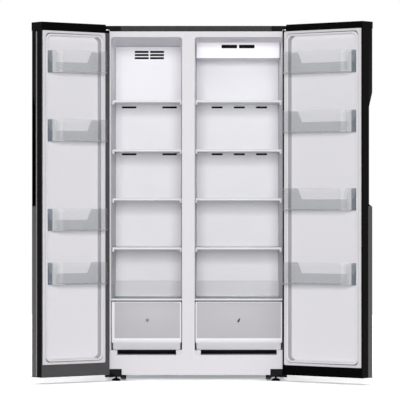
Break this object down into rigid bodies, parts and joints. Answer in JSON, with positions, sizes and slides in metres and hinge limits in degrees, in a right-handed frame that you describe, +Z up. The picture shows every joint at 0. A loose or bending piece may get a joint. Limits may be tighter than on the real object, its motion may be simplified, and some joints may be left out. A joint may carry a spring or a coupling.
{
  "type": "side by side refrigerator",
  "caption": "Side by side refrigerator shown with both doors swung open: hinged doors with clear baskets, glass shelves, sliding drawers, transport rollers and levelling feet.",
  "frame": {"origin": "middle of the whole footprint with the doors open, on the floor that the feet stand on", "axes": "+Z up, +Y to the back of the cabinet, +X to the right as seen from the front"},
  "size_m": [1.6924, 1.0098, 1.794],
  "materials": {
    "graphite_door_steel": "satin",
    "black_plastic": "satin",
    "insulation_foam": "matte",
    "white_liner_plastic": "satin",
    "door_seal": "matte",
    "clear_blue_plastic": "gloss",
    "shelf_glass": "gloss",
    "white_trim_plastic": "satin",
    "zinc_steel": "satin",
    "black_metal": "satin",
    "cabinet_side_paint": "satin",
    "white_frame_paint": "satin",
    "dark_plastic": "satin",
    "compressor_black": "satin",
    "fin_aluminium": "satin",
    "roller_grey": "matte"
  },
  "bodies": {
    "root": {"back_panel": "zinc_steel", "base_pan": "zinc_steel", "compressor": "compressor_black", "evaporator": "fin_aluminium", "freezer_drawer_cover": "white_trim_plastic", "freezer_duct_cover": "white_liner_plastic", "freezer_hinge_cover": "black_plastic", "freezer_liner": "white_liner_plastic", "freezer_lower_hinge": "black_metal", "freezer_shelf_1": "shelf_glass", "freezer_shelf_2": "shelf_glass", "freezer_shelf_3": "shelf_glass", "freezer_shelf_4": "shelf_glass", "freezer_upper_hinge": "zinc_steel", "fridge_drawer_cover": "white_trim_plastic", "fridge_duct_cover": "white_liner_plastic", "fridge_hinge_cover": "black_plastic", "fridge_liner": "white_liner_plastic", "fridge_lower_hinge": "black_metal", "fridge_shelf_1": "shelf_glass", "fridge_shelf_2": "shelf_glass", "fridge_shelf_3": "shelf_glass", "fridge_shelf_4": "shelf_glass", "fridge_upper_hinge": "zinc_steel", "front_frame": "white_frame_paint", "insulation_foam": "insulation_foam", "left_levelling_foot": "black_plastic", "machine_room_cover": "zinc_steel", "outer_shell": "cabinet_side_paint", "right_levelling_foot": "black_plastic", "top_cover": "dark_plastic"},
    "freezer_door": {"freezer_door_skin": "graphite_door_steel", "freezer_door_frame": "black_plastic", "freezer_door_top_cap": "black_plastic", "freezer_door_foam": "insulation_foam", "freezer_door_liner": "white_liner_plastic", "freezer_door_gasket": "door_seal", "freezer_door_handle_trim": "black_plastic", "freezer_door_basket_1": "clear_blue_plastic", "freezer_door_basket_2": "clear_blue_plastic", "freezer_door_basket_3": "clear_blue_plastic", "freezer_door_basket_4": "clear_blue_plastic"},
    "freezer_drawer": {"freezer_drawer": "white_trim_plastic"},
    "fridge_door": {"fridge_door_skin": "graphite_door_steel", "fridge_door_frame": "black_plastic", "fridge_door_top_cap": "black_plastic", "fridge_door_foam": "insulation_foam", "fridge_door_liner": "white_liner_plastic", "fridge_door_gasket": "door_seal", "fridge_door_handle_trim": "black_plastic", "fridge_door_basket_1": "clear_blue_plastic", "fridge_door_basket_2": "clear_blue_plastic", "fridge_door_basket_3": "clear_blue_plastic", "fridge_door_basket_4": "clear_blue_plastic"},
    "fridge_drawer": {"fridge_drawer": "white_trim_plastic"},
    "left_front_roller": {"left_front_roller": "roller_grey"},
    "right_front_roller": {"right_front_roller": "roller_grey"},
    "left_rear_roller": {"left_rear_roller": "roller_grey"},
    "right_rear_roller": {"right_rear_roller": "roller_grey"},
    "evaporator_fan": {"evaporator_fan": "dark_plastic"}
  },
  "joints": [
    {"name": "freezer_door_hinge", "type": "hinge", "parent": "root", "child": "freezer_door", "pos_m": [-0.4781, -0.15506, 0], "axis": [0, 0, -1], "range_deg": [-141.9, 5]},
    {"name": "fridge_door_hinge", "type": "hinge", "parent": "root", "child": "fridge_door", "pos_m": [0.4199, -0.15506, 0], "axis": [0, 0, 1], "range_deg": [-141.3, 5]},
    {"name": "freezer_drawer_slide", "type": "slide", "parent": "root", "child": "freezer_drawer", "axis": [0, -1, 0], "range_m": [0, 0.34]},
    {"name": "fridge_drawer_slide", "type": "slide", "parent": "root", "child": "fridge_drawer", "axis": [0, -1, 0], "range_m": [0, 0.34]},
    {"name": "left_front_roller_spin", "type": "hinge", "parent": "root", "child": "left_front_roller", "pos_m": [-0.3961, -0.06906, 0.016], "axis": [1, 0, 0], "continuous": true},
    {"name": "left_rear_roller_spin", "type": "hinge", "parent": "root", "child": "left_rear_roller", "pos_m": [-0.4291, 0.46094, 0.0147], "axis": [1, 0, 0], "continuous": true},
    {"name": "right_front_roller_spin", "type": "hinge", "parent": "root", "child": "right_front_roller", "pos_m": [0.3379, -0.06906, 0.016], "axis": [1, 0, 0], "continuous": true},
    {"name": "right_rear_roller_spin", "type": "hinge", "parent": "root", "child": "right_rear_roller", "pos_m": [0.3709, 0.46094, 0.0147], "axis": [1, 0, 0], "continuous": true},
    {"name": "evaporator_fan_spin", "type": "hinge", "parent": "root", "child": "evaporator_fan", "pos_m": [-0.2739, 0.41544, 1.29], "axis": [0, 1, 0], "continuous": true}
  ]
}
